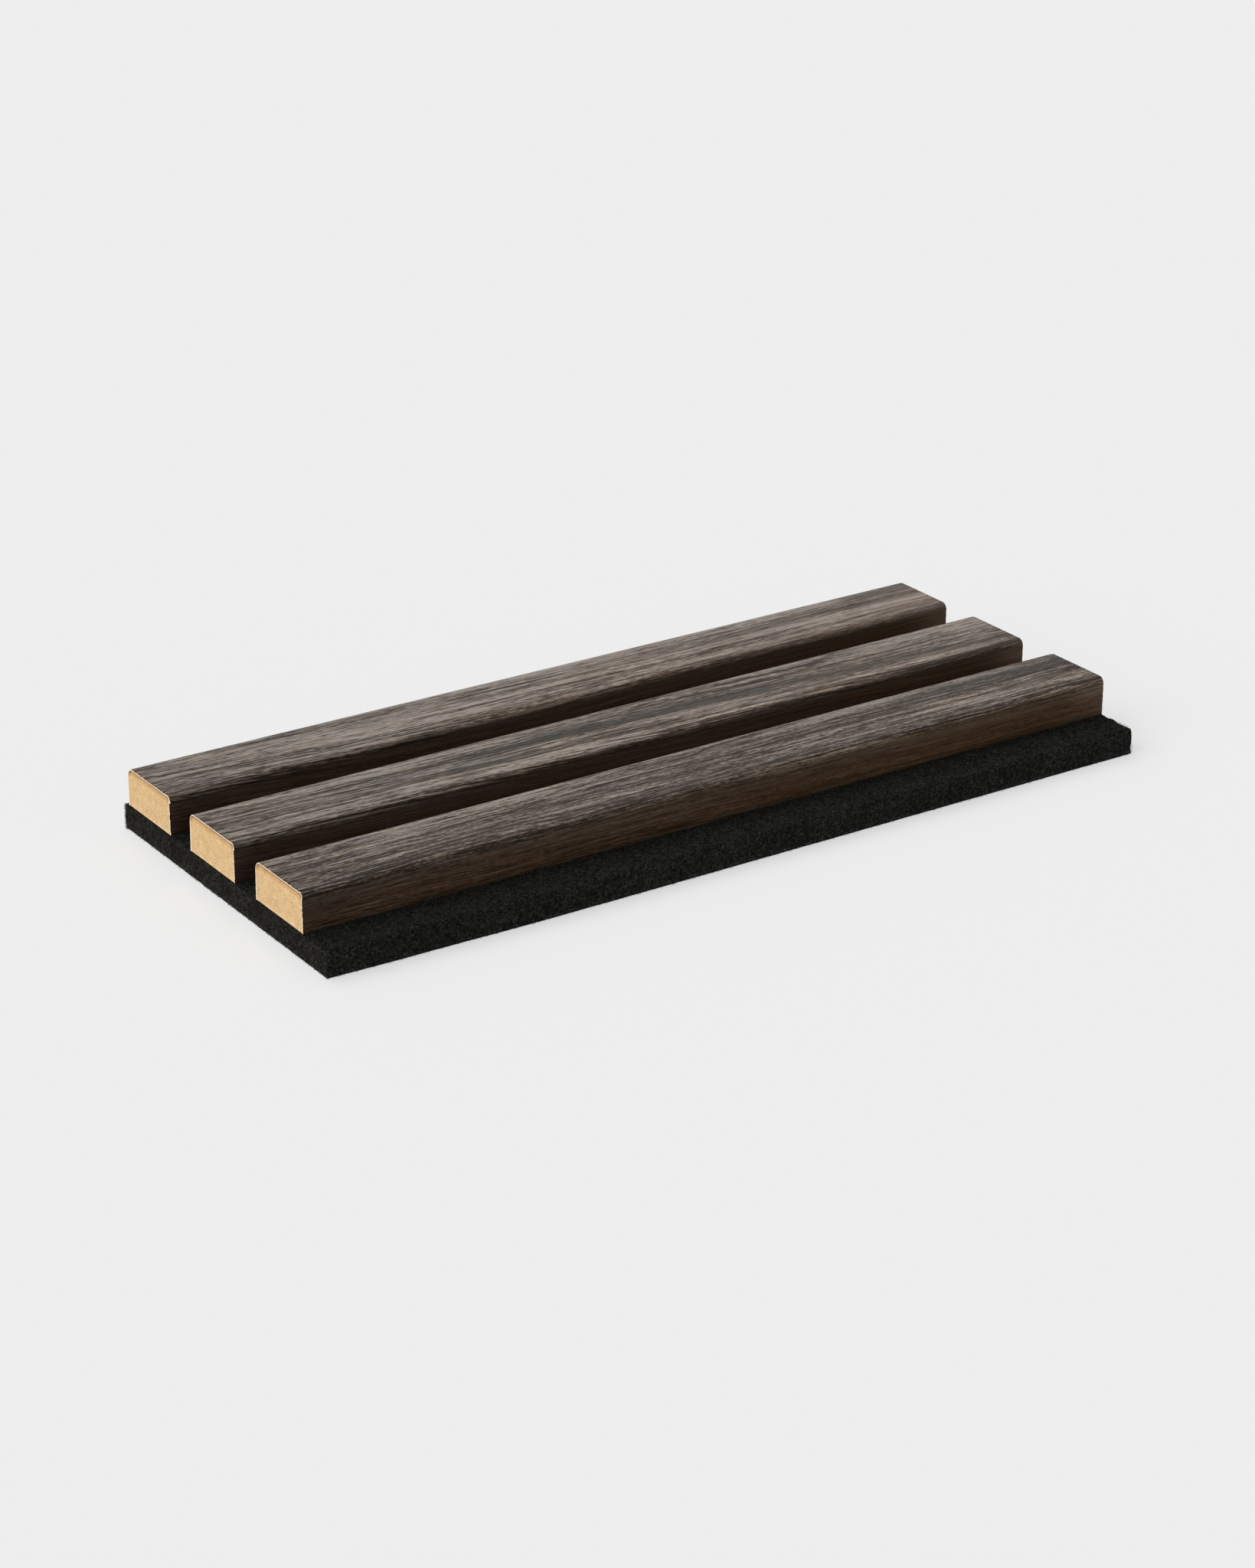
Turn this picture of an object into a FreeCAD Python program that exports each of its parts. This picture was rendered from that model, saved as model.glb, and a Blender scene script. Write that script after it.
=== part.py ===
import FreeCAD, Part
import math
import os

# Acoustic slat wall panel, sample length, lying on its felt back.
# Fibreboard slats, each wrapped in a wood-grain foil, stand side by side on a thick felt sheet.
# Staples driven from behind go through the felt into the slats and hold them.
# Millimetres. X runs along the slats, Y across them, Z up from the felt's back face.
# The origin is the centre of the felt's back face. The wide bare strip of felt is on the -Y side.

V = FreeCAD.Vector

# Slats
SLAT_NAMES = ("front", "middle", "back")
SLAT_LENGTH = 290.0
SLAT_WIDTH = 27.0
SLAT_HEIGHT = 12.5
SLAT_GAP = 13.0
CORNER_RADIUS = 2.2
WRAP_THICKNESS = 0.45
CORE_SETBACK = 0.3  # the saw leaves the foil standing this far past the fibreboard

# Felt sheet
FELT_THICKNESS = 8.5
FELT_FRONT_MARGIN = 14.0
FELT_BACK_MARGIN = 2.0
FELT_EDGE_RADIUS = 0.6

# Staples
STAPLE_SPACING = 145.0  # along a slat
STAPLE_CROWN = 11.2
STAPLE_WIRE_WIDTH = 1.2
STAPLE_WIRE_THICKNESS = 0.6
STAPLE_INNER_BEND = 0.4
STAPLE_POINT_LENGTH = 1.8
STAPLE_SINK = 0.5  # how deep the crown is pulled into the felt's back
STAPLE_BITE = 5.0  # how far the legs go into the fibreboard
DIMPLE_MARGIN = 1.4  # the felt slopes down to the crown over this distance

# Places that follow from the sizes above
SLAT_PITCH = SLAT_WIDTH + SLAT_GAP
SLAT_ROW_WIDTH = len(SLAT_NAMES) * SLAT_PITCH - SLAT_GAP
FELT_LENGTH = SLAT_LENGTH
FELT_WIDTH = FELT_FRONT_MARGIN + SLAT_ROW_WIDTH + FELT_BACK_MARGIN
FELT_FRONT_Y = -FELT_WIDTH / 2
FIRST_SLAT_Y = FELT_FRONT_Y + FELT_FRONT_MARGIN + SLAT_WIDTH / 2
SLAT_BASE_Z = FELT_THICKNESS
CORE_LENGTH = SLAT_LENGTH - 2 * CORE_SETBACK
CORE_WIDTH = SLAT_WIDTH - 2 * WRAP_THICKNESS
CORE_HEIGHT = SLAT_HEIGHT - WRAP_THICKNESS
CORE_RADIUS = CORNER_RADIUS - WRAP_THICKNESS
STAPLE_TIP_Z = SLAT_BASE_Z + STAPLE_BITE
STAPLES_PER_SLAT = max(1, round(SLAT_LENGTH / STAPLE_SPACING))
SAME_POINT = 1e-6


def rounded_wire(corners):
    """Closed wire through (point, radius) corners, each rounded by a tangent arc of its radius."""
    starts = []
    ends = []
    middles = []
    count = len(corners)
    for i, (point, radius) in enumerate(corners):
        to_last = (corners[i - 1][0] - point).normalize()
        to_next = (corners[(i + 1) % count][0] - point).normalize()
        half_angle = to_last.getAngle(to_next) / 2
        reach = radius / math.tan(half_angle)
        bisector = (to_last + to_next).normalize()
        centre_distance = radius / math.sin(half_angle)
        starts.append(point + to_last * reach)
        ends.append(point + to_next * reach)
        middles.append(point + bisector * (centre_distance - radius))
    edges = []
    for i, (point, radius) in enumerate(corners):
        next_start = starts[(i + 1) % count]
        if radius > 0:
            edges.append(Part.Arc(starts[i], middles[i], ends[i]).toShape())
        if not ends[i].isEqual(next_start, SAME_POINT):
            edges.append(Part.LineSegment(ends[i], next_start).toShape())
    return Part.Wire(edges)


def slat_outline(x, width, base_z, height, radius):
    """Upright outline across a slat at x: square at the felt, rounded along both top edges."""
    side = width / 2
    top_z = base_z + height
    return rounded_wire([
        (V(x, -side, base_z), 0),
        (V(x, side, base_z), 0),
        (V(x, side, top_z), radius),
        (V(x, -side, top_z), radius),
    ])


def bar(length, width, height, radius):
    """Straight bar with the slat's outline, centred on X, standing on the felt."""
    outline = slat_outline(-length / 2, width, SLAT_BASE_Z, height, radius)
    return Part.Face(outline).extrude(V(length, 0, 0))


def slat_core():
    """Fibreboard bar that fills the wrap, its sawn ends set back a little."""
    return bar(CORE_LENGTH, CORE_WIDTH, CORE_HEIGHT, CORE_RADIUS)


def slat_wrap():
    """Foil over the top and both sides of a slat, open underneath and at its ends."""
    outside = bar(SLAT_LENGTH, SLAT_WIDTH, SLAT_HEIGHT, CORNER_RADIUS)
    inside = bar(SLAT_LENGTH, CORE_WIDTH, CORE_HEIGHT, CORE_RADIUS)
    return outside.cut(inside)


def staple():
    """Flat-wire staple, its crown across the slat and its two legs pointing up."""
    x = -STAPLE_WIRE_WIDTH / 2
    side = STAPLE_CROWN / 2
    inner_side = side - STAPLE_WIRE_THICKNESS
    low_z = STAPLE_SINK
    inner_z = low_z + STAPLE_WIRE_THICKNESS
    shoulder_z = STAPLE_TIP_Z - STAPLE_POINT_LENGTH
    outer_bend = STAPLE_INNER_BEND + STAPLE_WIRE_THICKNESS
    outline = rounded_wire([
        (V(x, -side, low_z), outer_bend),
        (V(x, side, low_z), outer_bend),
        (V(x, side, STAPLE_TIP_Z), 0),
        (V(x, inner_side, shoulder_z), 0),
        (V(x, inner_side, inner_z), STAPLE_INNER_BEND),
        (V(x, -inner_side, inner_z), STAPLE_INNER_BEND),
        (V(x, -inner_side, shoulder_z), 0),
        (V(x, -side, STAPLE_TIP_Z), 0),
    ])
    return Part.Face(outline).extrude(V(STAPLE_WIRE_WIDTH, 0, 0))


def dimple_ring(z, margin):
    """Level outline with round ends about a staple's crown, this margin wider on every side."""
    half_x = STAPLE_WIRE_WIDTH / 2 + margin
    half_y = STAPLE_CROWN / 2 + margin
    return rounded_wire([
        (V(-half_x, -half_y, z), half_x),
        (V(half_x, -half_y, z), half_x),
        (V(half_x, half_y, z), half_x),
        (V(-half_x, half_y, z), half_x),
    ])


def dimple():
    """Sloping hollow that the crown pulls into the felt's back."""
    rim = dimple_ring(0, DIMPLE_MARGIN)
    floor = dimple_ring(STAPLE_SINK, 0)
    return Part.makeLoft([rim, floor], True, True)


def staple_places():
    """Centre of every staple: a row along each slat's middle line, even about its centre."""
    first_x = -STAPLE_SPACING * (STAPLES_PER_SLAT - 1) / 2
    return [
        V(first_x + number * STAPLE_SPACING, slat_y(slat), 0)
        for slat in range(len(SLAT_NAMES))
        for number in range(STAPLES_PER_SLAT)
    ]


def slat_y(number):
    """Y of a slat's middle line, counted from the front."""
    return FIRST_SLAT_Y + number * SLAT_PITCH


def at(shape, place):
    """Copy of a shape moved from the origin to a place."""
    moved = shape.copy()
    moved.translate(place)
    return moved


def felt_sheet(staples):
    """Felt slab with softened edges, dimpled and pierced by the staples."""
    corner = V(-FELT_LENGTH / 2, FELT_FRONT_Y, 0)
    slab = Part.makeBox(FELT_LENGTH, FELT_WIDTH, FELT_THICKNESS, corner)
    slab = slab.makeFillet(FELT_EDGE_RADIUS, slab.Edges)
    dimples = [at(dimple(), place) for place in staple_places()]
    return slab.cut(Part.makeCompound(dimples)).cut(staples)


def build():
    """Every sub-part by its node name."""
    staples = Part.makeCompound([at(staple(), place) for place in staple_places()])
    nodes = {"felt_backing": felt_sheet(staples), "back_staples": staples}
    for number, name in enumerate(SLAT_NAMES):
        place = V(0, slat_y(number), 0)
        nodes[f"slat_core_{name}"] = at(slat_core(), place).cut(staples)
        nodes[f"slat_wrap_{name}"] = at(slat_wrap(), place)
    return nodes


os.makedirs("parts", exist_ok=True)
for node, shape in build().items():
    shape.exportStep(f"parts/{node}.step")
    box = shape.BoundBox
    print(node, len(shape.Solids), "solids", round(shape.Volume, 1), "mm3", box)
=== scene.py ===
import math

import bpy
import numpy as np
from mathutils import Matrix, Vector, noise


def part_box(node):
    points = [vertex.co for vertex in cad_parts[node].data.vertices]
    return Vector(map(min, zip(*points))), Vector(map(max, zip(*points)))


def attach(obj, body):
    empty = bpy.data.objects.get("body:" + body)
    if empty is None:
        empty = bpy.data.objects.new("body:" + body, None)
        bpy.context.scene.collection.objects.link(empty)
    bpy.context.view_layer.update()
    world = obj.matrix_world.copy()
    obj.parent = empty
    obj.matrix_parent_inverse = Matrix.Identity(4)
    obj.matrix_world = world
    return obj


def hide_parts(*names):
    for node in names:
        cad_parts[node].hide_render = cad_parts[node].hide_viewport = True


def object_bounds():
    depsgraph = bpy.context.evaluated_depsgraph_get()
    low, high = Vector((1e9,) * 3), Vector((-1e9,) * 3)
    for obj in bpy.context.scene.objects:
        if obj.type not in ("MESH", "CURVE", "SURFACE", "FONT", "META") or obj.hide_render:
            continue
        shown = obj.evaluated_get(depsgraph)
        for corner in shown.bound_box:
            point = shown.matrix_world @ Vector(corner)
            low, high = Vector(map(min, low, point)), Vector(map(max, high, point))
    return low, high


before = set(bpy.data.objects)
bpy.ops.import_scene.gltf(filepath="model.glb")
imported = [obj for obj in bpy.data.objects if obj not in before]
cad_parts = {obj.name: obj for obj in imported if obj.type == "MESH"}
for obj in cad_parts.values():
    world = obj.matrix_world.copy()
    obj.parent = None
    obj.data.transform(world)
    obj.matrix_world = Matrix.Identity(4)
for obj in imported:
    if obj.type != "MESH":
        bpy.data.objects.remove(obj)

# Acoustic slat wall panel lying on its felt back, seen from its sawn near end.
# Metres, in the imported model's frame: X along the slats, Y across them, Z up from the felt's back.
# Pattern sizes in the materials are in millimetres.

cad_low, cad_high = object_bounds()
MM = 0.001
SLATS = ("front", "middle", "back")
felt_low, felt_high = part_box("felt_backing")
NEAR_X = felt_low.x * 1000
FAR_X = -NEAR_X
SLAT_TOP = cad_high.z * 1000
FELT_TOP = felt_high.z * 1000
SLAT_HEIGHT = SLAT_TOP - FELT_TOP
slat_boxes = {name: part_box(f"slat_wrap_{name}") for name in SLATS}
slat_middles = {name: (low.y + high.y) / 2 * 1000 for name, (low, high) in slat_boxes.items()}
HALF_SLAT = (slat_boxes["front"][1].y - slat_boxes["front"][0].y) / 2 * 1000
FOIL_THICKNESS = cad_high.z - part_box("slat_core_front")[1].z

# Camera, solved from the photograph's straight edges. Its height is the frame's long side.
VIEW_AZIMUTH = 33.72
VIEW_ELEVATION = 23.42
VIEW_DISTANCE = 1.0893
VIEW_TARGET = Vector((-0.01392, -0.01332, 0.01013))
FOCAL_PIXELS = 4698.9
FRAME_HEIGHT = 2048
SENSOR = 36.0
CLIP = (0.01, 200.0)

# Light levels, where 1 shows a matt colour as it is written
SKY_LEVEL = 0.30
# Each lamp's level, where it stands as seen from the object, and its spread in degrees
LIGHTS = {
    "left_light": (0.57, (-1.0, 0.0, 0.70), 50),
    "back_light": (0.46, (-0.15, 0.75, 0.95), 60),
}
BACKDROP = 0.855
FLOOR_GLOW = 0.65
FLOOR_GAP = 0.05 * MM
FLOOR_HALF = 40.0

# Radii of the foil's top corners in millimetres. The sharp one is the near front one, flared by the saw.
CORNER = 2.2
REAR_CORNER = {"front": (3.0, 2.2), "middle": (3.0, 1.5), "back": (3.0, 3.0)}  # near end, far end
SHARP_CORNER = 0.8
# What the saw did at the near end: corners flared out, rear side leaning out, burr at the front corner
FLARE = {"front": 0.7 * MM, "middle": 0.75 * MM, "back": 0.85 * MM}
FLARE_REACH = 0.7 * MM
LEANING = 0.5 * MM
LEANING_REACH = 5 * MM
BURR = {"front": 0.15 * MM, "middle": 0.45 * MM, "back": 0.85 * MM}
BURR_DEPTH = 1.85 * MM
BURR_ABOVE = 0.5 * MM
BURR_BELOW = 0.2 * MM
FRAY_REACH = 0.5 * MM
# The foil's slow swell, then its mesh: step along it, closer steps at its ends, points across it
SWELL = 0.02 * MM
FOIL_STEP = 2.0 * MM
FOIL_ENDS = [0.0, 0.12 * MM, 0.28 * MM, 0.5 * MM, 0.8 * MM, 1.3 * MM, 2.1 * MM]
FRONT_POINTS, FRONT_CORNER_POINTS, TOP_POINTS, REAR_CORNER_POINTS, REAR_POINTS = 42, 25, 34, 17, 40
# Width of the pale rim that shows at a cut, in millimetres, and how far it stands up at the near end
RIM = 0.28
SIDE_RIM = {"front": 0.38, "rear": 0.24}
RAISED_RIM = 0.08 * MM

# Felt
FELT_EDGE_RADIUS = 0.6 * MM
FELT_STEP = 1.0 * MM
# Unevenness of the surface: size of the lumps, seed and height. The far end is also torn.
LUMPS = ((2.6 * MM, 3.0, 0.10 * MM), (1.1 * MM, 8.0, 0.09 * MM))
TORN_LUMPS = ((3.1 * MM, 55.0, 0.55 * MM), (1.5 * MM, 61.0, 0.3 * MM))
CUT_WAVE = 11 * MM
CUT_WAVER = 0.22 * MM
# The bare front strip bulges forward, less so at its far top, and is worn back at its near end
FRONT_BOW = 1.0 * MM
BOW_START = 20 * MM
BOW_RISE = 55 * MM
BOW_WIDTH = 10 * MM
FAR_FADE = 70 * MM
NEAR_CORNER_WEAR = 0.8 * MM
WEAR_LENGTH = 22 * MM
DIMPLE_DEPTH = 0.85 * MM
DIMPLE_REACH = 1.4 * MM
SAME_STAPLE = 15 * MM
FIBRE_RADIUS = 0.04 * MM
FIBRE_RINGS = 4
TOP_FIBRES = 9500
SIDE_FIBRES = 9500
TUFT_FIBRES = 900


class Nodes:
    """Short calls that build one material's node tree."""

    def __init__(self, name):
        self.material = bpy.data.materials.new(name)
        self.material.use_nodes = True
        self.tree = self.material.node_tree
        self.tree.nodes.clear()

    def put(self, socket, value):
        if isinstance(value, bpy.types.NodeSocket):
            self.tree.links.new(value, socket)
        else:
            socket.default_value = value

    def add(self, kind, inputs=None, **settings):
        node = self.tree.nodes.new(kind)
        for key, value in settings.items():
            setattr(node, key, value)
        for key, value in (inputs or {}).items():
            self.put(node.inputs[key], value)
        return node

    def math(self, operation, *values, clamp=False):
        node = self.add("ShaderNodeMath", operation=operation, use_clamp=clamp)
        for socket, value in zip(node.inputs, values):
            self.put(socket, value)
        return node.outputs[0]

    def sum(self, *values):
        total = values[0]
        for value in values[1:]:
            total = self.math("ADD", total, value)
        return total

    def times(self, a, b):
        return self.math("MULTIPLY", a, b)

    def place(self):
        """The surface point's X, Y and Z in millimetres."""
        where = self.add("ShaderNodeTexCoord").outputs["Object"]
        scale = {0: where, 1: (1000, 1000, 1000)}
        scaled = self.add("ShaderNodeVectorMath", scale, operation="MULTIPLY")
        return self.add("ShaderNodeSeparateXYZ", {0: scaled.outputs[0]}).outputs

    def vector(self, x, y, z):
        return self.add("ShaderNodeCombineXYZ", {0: x, 1: y, 2: z}).outputs[0]

    def cells(self, place, *per_millimetre):
        """The point counted in noise cells, with this many in a millimetre along each axis."""
        return self.vector(*[self.times(value, scale) for value, scale in zip(place, per_millimetre)])

    def noise(self, vector, detail=2.0, roughness=0.5, distortion=0.0):
        """Smooth noise about 0, within about 0.5 either way, with cells one unit long."""
        node = self.add("ShaderNodeTexNoise", {
            "Vector": vector, "Scale": 1.0, "Detail": detail,
            "Roughness": roughness, "Distortion": distortion,
        })
        return self.math("SUBTRACT", node.outputs[0], 0.5)

    def grain(self, x, y, length, width, seed, detail=2.0, roughness=0.5):
        """Noise drawn out along X: cells this long and this wide."""
        return self.noise(self.vector(
            self.math("DIVIDE", x, length), self.math("DIVIDE", y, width), seed), detail, roughness)

    def step(self, value, low, high):
        """0 below low and 1 above high, smooth between."""
        span = {0: value, 1: low, 2: high}
        return self.add("ShaderNodeMapRange", span, interpolation_type="SMOOTHSTEP").outputs[0]

    def bump_at(self, value, middle, width):
        """A smooth bump of height 1 where value is middle."""
        off = self.math("DIVIDE", self.math("SUBTRACT", value, middle), width)
        return self.math("EXPONENT", self.times(self.times(off, off), -1.0))

    def ramp(self, value, stops):
        node = self.add("ShaderNodeValToRGB", {0: value})
        elements = node.color_ramp.elements
        while len(elements) < len(stops):
            elements.new(0.5)
        for element, (position, colour) in zip(elements, stops):
            element.position = position
            element.color = (*colour, 1.0)
        return node.outputs[0]

    def mix(self, factor, a, b, blend="MIX"):
        node = self.add("ShaderNodeMix", data_type="RGBA", blend_type=blend)
        self.put(node.inputs[0], factor)
        for socket, value in ((node.inputs[6], a), (node.inputs[7], b)):
            self.put(socket, (*value, 1.0) if isinstance(value, tuple) else value)
        return node.outputs[2]

    def tint(self, colour, by, share=1.0):
        """The colour multiplied by another one, as far as share says."""
        return self.mix(share, colour, by, "MULTIPLY")

    def bump(self, height, strength, distance):
        return self.add("ShaderNodeBump", {
            "Height": height, "Strength": strength, "Distance": distance}).outputs[0]

    def finish(self, colour, roughness, normal=None, **fixed):
        """A Principled surface; what is the same all over is set on its own sockets."""
        shader = self.add("ShaderNodeBsdfPrincipled", {"Base Color": colour, "Roughness": roughness})
        if normal is not None:
            self.put(shader.inputs["Normal"], normal)
        for key, value in fixed.items():
            shader.inputs[key.replace("_", " ").title().replace("Ior", "IOR")].default_value = value
        out = self.add("ShaderNodeOutputMaterial", {0: shader.outputs[0]})
        out.is_active_output = True
        return self.material


# Wood foil

# Bands of the printed figure on each slat: from and to along X, its place across the foil at both
# ends (counted from the slat's middle line, + to the rear), half width and strength. A negative
# strength darkens. The last value is how blue-grey the band is.
FIGURE = {
    "front": (
        (-125, -112, 5.5, 10.6, 1.3, -0.34, 0.4),
        (-108, -45, 8.5, 9.0, 3.0, 0.12, 0.0),
        (-72, -30, 9.5, 9.8, 2.4, 0.16, 0.0),
        (-145, 30, 0.2, 0.0, 4.4, -0.15, 0.0),
        (-92, -48, 2.6, 1.4, 3.2, -0.12, 0.0),
        (-148, -132, 0.6, 0.2, 3.4, -0.14, 0.3),
        (-148, -112, -7.6, -7.5, 0.5, 0.34, 0.0),
        (-70, -46, -7.8, -6.9, 0.45, 0.22, 0.0),
        (-48, 0, 3.6, 3.4, 2.4, -0.12, 0.0),
        (-34, -2, -5.8, -5.9, 0.55, 0.28, 0.0),
        (16, 50, -3.6, -4.2, 3.4, 0.12, 0.0),
        (-8, 14, 6.2, 9.9, 0.6, -0.40, 0.2),
        (14, 60, 9.9, 12.2, 0.5, -0.30, 0.2),
        (4, 50, 7.2, 7.4, 1.3, 0.16, 0.0),
        (2, 60, 2.0, 1.0, 1.8, -0.14, 0.0),
        (-2, 48, -8.0, -8.4, 1.5, -0.18, 0.0),
        (10, 24, 8.6, 8.8, 1.0, -0.22, 0.6),
        (-60, 60, -10.4, -10.2, 1.8, -0.12, 0.0),
        (46, 78, 9.4, 9.0, 2.2, 0.16, 0.0),
        (48, 80, 2.8, 2.8, 1.8, -0.20, 0.2),
        (76, 152, 6.4, 5.8, 3.6, -0.26, 0.8),
        (88, 114, -0.6, -0.6, 1.4, 0.16, 0.0),
        (46, 152, -3.0, -2.6, 0.6, -0.34, 0.0),
        (82, 152, -6.8, -8.0, 2.2, 0.24, 0.0),
        (48, 92, -4.2, -4.0, 0.9, 0.16, 0.0),
        (48, 92, -5.6, -5.8, 0.5, -0.20, 0.0),
        (48, 96, -7.6, -7.8, 0.7, 0.24, 0.0),
        (48, 96, -9.2, -9.8, 0.6, -0.24, 0.0),
        (-152, 152, -18.5, -18.5, 2.2, 0.30, 0.0),
    ),
    "middle": (
        (-148, -68, 9.0, 8.8, 3.0, 0.14, 0.0),
        (-106, -48, 4.6, 5.0, 1.3, -0.26, 0.3),
        (-148, -48, 0.8, -4.4, 1.3, -0.30, 0.6),
        (-148, -70, -7.6, -8.2, 3.2, 0.16, 0.0),
        (-128, -96, -6.5, -6.6, 0.4, -0.30, 0.0),
        (-84, -46, -8.0, -8.6, 2.6, 0.26, 0.0),
        (-95, -48, 8.8, 8.6, 1.8, 0.16, 0.0),
        (-95, -48, 2.4, 2.0, 1.2, -0.14, 0.3),
        (-66, -34, -2.0, -3.0, 3.2, -0.18, 0.7),
        (-50, 50, 3.6, -1.0, 2.5, -0.46, 0.9),
        (-48, 0, 8.0, 7.6, 2.0, 0.20, 0.0),
        (-34, -12, 5.9, 5.6, 0.5, -0.30, 0.8),
        (-38, -16, -0.4, -0.8, 0.5, 0.26, 0.0),
        (5, 20, 7.0, 12.0, 1.0, -0.38, 0.4),
        (-32, 14, -4.6, -7.4, 1.0, -0.30, 0.0),
        (-50, 2, -9.4, -10.6, 2.4, 0.30, 0.0),
        (10, 50, -4.8, -7.0, 0.6, 0.28, 0.0),
        (0, 48, -11.4, -11.6, 1.4, 0.18, 0.0),
        (68, 87, 4.9, 11.8, 1.2, -0.36, 0.5),
        (95, 152, 8.8, 8.6, 2.8, 0.28, 0.0),
        (96, 152, -12.6, -12.6, 1.2, -0.30, 0.3),
        (80, 152, -9.2, -9.4, 0.8, 0.10, 0.0),
        (102, 132, 5.3, 5.0, 0.8, -0.20, 0.0),
        (64, 152, 1.9, 1.6, 0.7, 0.20, 0.0),
        (46, 152, -1.2, -6.6, 2.0, -0.34, 0.7),
        (70, 110, -9.2, -9.6, 0.8, 0.24, 0.0),
    ),
    "back": (
        (-120, -46, 9.4, 9.0, 1.8, -0.20, 0.6),
        (-145, -48, 2.0, 4.0, 3.4, 0.10, 0.0),
        (-148, -48, -0.4, -7.0, 0.4, 0.32, 0.0),
        (-148, -106, -4.4, -6.8, 3.4, -0.20, 0.0),
        (-110, -48, -5.2, -8.4, 1.4, -0.24, 0.0),
        (-148, -92, -6.5, -9.8, 0.4, 0.36, 0.0),
        (-148, -95, -9.4, -10.4, 1.4, -0.18, 0.0),
        (-148, -92, -2.6, -3.6, 1.2, -0.14, 0.0),
        (-148, -92, 4.8, 5.0, 1.6, -0.12, 0.0),
        (-50, 118, 9.4, 9.4, 3.0, 0.15, 0.0),
        (-148, 152, -10.4, -10.8, 1.2, -0.12, 0.0),
        (-100, 152, -0.4, -2.3, 2.0, 0.22, 0.0),
        (-38, 50, 5.1, 4.0, 0.6, -0.28, 0.0),
        (-12, 18, 2.6, 2.4, 1.4, -0.12, 0.0),
        (-48, 16, -1.2, -1.2, 0.9, 0.20, 0.0),
        (-50, -26, -3.0, -3.3, 0.4, -0.30, 0.0),
        (-8, 20, -3.8, -4.0, 0.45, -0.34, 0.0),
        (-50, 12, -8.3, -9.6, 0.45, -0.28, 0.0),
        (46, 152, 4.2, 2.4, 1.1, -0.22, 0.2),
        (82, 152, -2.6, -3.4, 2.8, 0.12, 0.0),
        (46, 86, -4.5, -4.6, 0.4, -0.30, 0.0),
        (46, 96, -7.6, -7.8, 1.6, -0.08, 0.0),
        (116, 152, 8.8, 9.2, 2.0, -0.16, 0.6),
    ),
}
BAND_FADE = 10.0
# Base tone of each slat's foil; the middle and back slats are made paler, which is painted light from
# behind
SLAT_TONE = {"front": 0.42, "middle": 0.478, "back": 0.63}
# How much paler the foil gets in one millimetre towards the rear, and right at its rear edge
SLAT_SLOPE = {"front": 0.013, "middle": 0.006, "back": 0.007}
REAR_EDGE_TONE = 0.13
# Foil colour by tone
FOIL_COLOURS = (
    (0.10, (0.0325, 0.0250, 0.0205)),
    (0.30, (0.071, 0.053, 0.0435)),
    (0.50, (0.128, 0.105, 0.0895)),
    (0.72, (0.2035, 0.176, 0.1565)),
    (0.98, (0.318, 0.286, 0.259)),
)
BLUE_GREY = (0.062, 0.061, 0.058)
BLUE_SHARE = 0.6
WARM_TINT = (1.06, 1.0, 0.90)
COOL_TINT = (0.99, 0.985, 1.02)
SLAT_TINT = {"front": (1.0, 1.0, 1.0), "middle": (1.0, 1.0, 1.0), "back": (1.0, 0.985, 0.985)}
# Painted shade: near-black that the foil is darkened to within 0.7 mm of either cut end
CUT_END_SHADE = (0.008, 0.005, 0.003)

# Tint down a front side, by depth as a share of the slat's height, and of the lower half of each side.
# The first is partly the print's browner sides and partly painted shade, darkest a little under the top
# edge and near the foot; the second is painted shade in the gaps, on the middle and back slats.
SIDE_TINTS = (
    (0.02, (1.0, 1.0, 1.0)),
    (0.07, (0.68, 0.64, 0.60)),
    (0.16, (0.58, 0.545, 0.495)),
    (0.34, (0.655, 0.53, 0.435)),
    (0.50, (0.645, 0.49, 0.405)),
    (0.80, (0.92, 0.68, 0.465)),
    (0.94, (0.74, 0.60, 0.44)),
    (1.00, (0.66, 0.52, 0.40)),
)
SIDE_FOOT_SHADE = {"front": (1.0, 1.0, 1.0), "middle": (0.62, 0.62, 0.78), "back": (0.62, 0.62, 0.78)}
REAR_SIDE_TINT = (0.74, 0.66, 0.60)
# Paler foil just below the front top edge, towards the far end: tint, depth and half width
SHOULDER = {
    "front": ((1.7, 1.65, 1.6), 1.5, 1.1),
    "middle": ((1.8, 1.75, 1.7), 0.7, 0.7),
    "back": ((1.5, 1.45, 1.4), 0.7, 0.7),
}
# Tints along the front sides: painted shade at the near end, and tints in the far half and at the far
# end
SIDE_NEAR_SHADE = (0.72, 0.72, 0.72)
SIDE_LATE_TINT = (1.04, 1.0, 0.87)
SIDE_FAR_TINT = (1.4, 1.44, 1.6)
# The tone that the grain is about down the sides, and how much fainter it is there than on the top
SIDE_TONE = 0.48
SIDE_FADE = {"front": 0.70, "middle": 0.83, "back": 0.83}

# How far the grain runs aside in one millimetre along the slat, and how far from the near end it does
GRAIN_LEAN = {"front": (-0.008, 400), "middle": (-0.040, 250), "back": (-0.068, 100)}
# How many times longer each slat's streaks are than the layers say
GRAIN_STRETCH = {"front": 1.1, "middle": 1.7, "back": 1.8}
# The grain's strength at mid length, and how much fainter it gets in one millimetre along the slat
GRAIN_STRENGTH = 0.96
GRAIN_FADE = {"front": 0.0014, "middle": 0.0020, "back": 0.0040}
# Slow drift of the grain to either side: length and width of one swing, seed and reach
DRIFTS = ((70, 14, 0.3, 4.2), (40, 5, 1.7, 0.8))
# Slow change between warm and cool: length and width of one patch, seed and strength
HUES = ((55, 3.0, 36.0, 2.2), (18, 0.9, 39.0, 1.4))
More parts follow.
